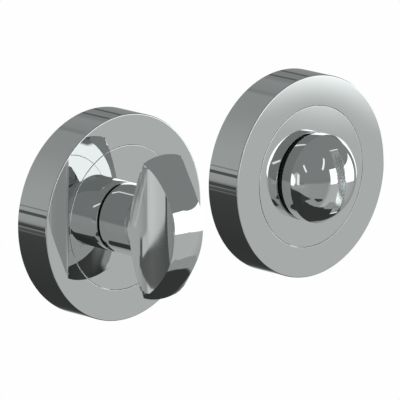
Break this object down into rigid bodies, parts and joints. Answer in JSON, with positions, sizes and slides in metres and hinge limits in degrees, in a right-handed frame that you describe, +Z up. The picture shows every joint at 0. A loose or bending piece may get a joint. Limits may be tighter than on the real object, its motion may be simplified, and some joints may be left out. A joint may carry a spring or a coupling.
{
  "type": "bathroom thumb turn lock",
  "caption": "Bathroom thumb turn and matching coin release on round chrome roses, each turning a quarter turn.",
  "frame": {"origin": "centre of the thumb turn's rose on the door face, on the turn's axis", "axes": "+X from the thumb turn to the coin release, +Y into the door so that the roses face -Y, +Z up"},
  "size_m": [0.112, 0.0533, 0.05],
  "materials": {
    "rose_chrome": "polished chrome plate",
    "knob_chrome": "polished chrome plate",
    "zinc_casting": "zinc alloy as cast",
    "black_nylon": "moulded black nylon",
    "spring_steel": "oiled dark spring steel",
    "plain_steel": "bright zinc plated steel"
  },
  "bodies": {
    "roses": {"turn_rose_cover": "rose_chrome", "turn_face_disc": "rose_chrome", "turn_base_plate": "zinc_casting", "turn_snap_ring": "spring_steel", "turn_bush": "black_nylon", "turn_thrust_washer": "plain_steel", "release_rose_cover": "rose_chrome", "release_face_disc": "rose_chrome", "release_base_plate": "zinc_casting", "release_snap_ring": "spring_steel", "release_bush": "black_nylon", "release_thrust_washer": "plain_steel"},
    "turn": {"turn_knob": "knob_chrome", "turn_spindle": "plain_steel", "turn_spindle_pin": "plain_steel", "turn_stop_plate": "plain_steel", "turn_wave_washer": "spring_steel", "turn_circlip": "spring_steel"},
    "release": {"release_knob": "knob_chrome", "release_stop_plate": "plain_steel", "release_wave_washer": "spring_steel", "release_circlip": "spring_steel"}
  },
  "joints": [
    {"name": "turn_rotation", "type": "hinge", "parent": "roses", "child": "turn", "pos_m": [0, 0, 0], "axis": [0, -1, 0], "range_deg": [0, 90]},
    {"name": "release_rotation", "type": "hinge", "parent": "roses", "child": "release", "pos_m": [0.062, 0, 0], "axis": [0, -1, 0], "range_deg": [-90, 0]}
  ]
}
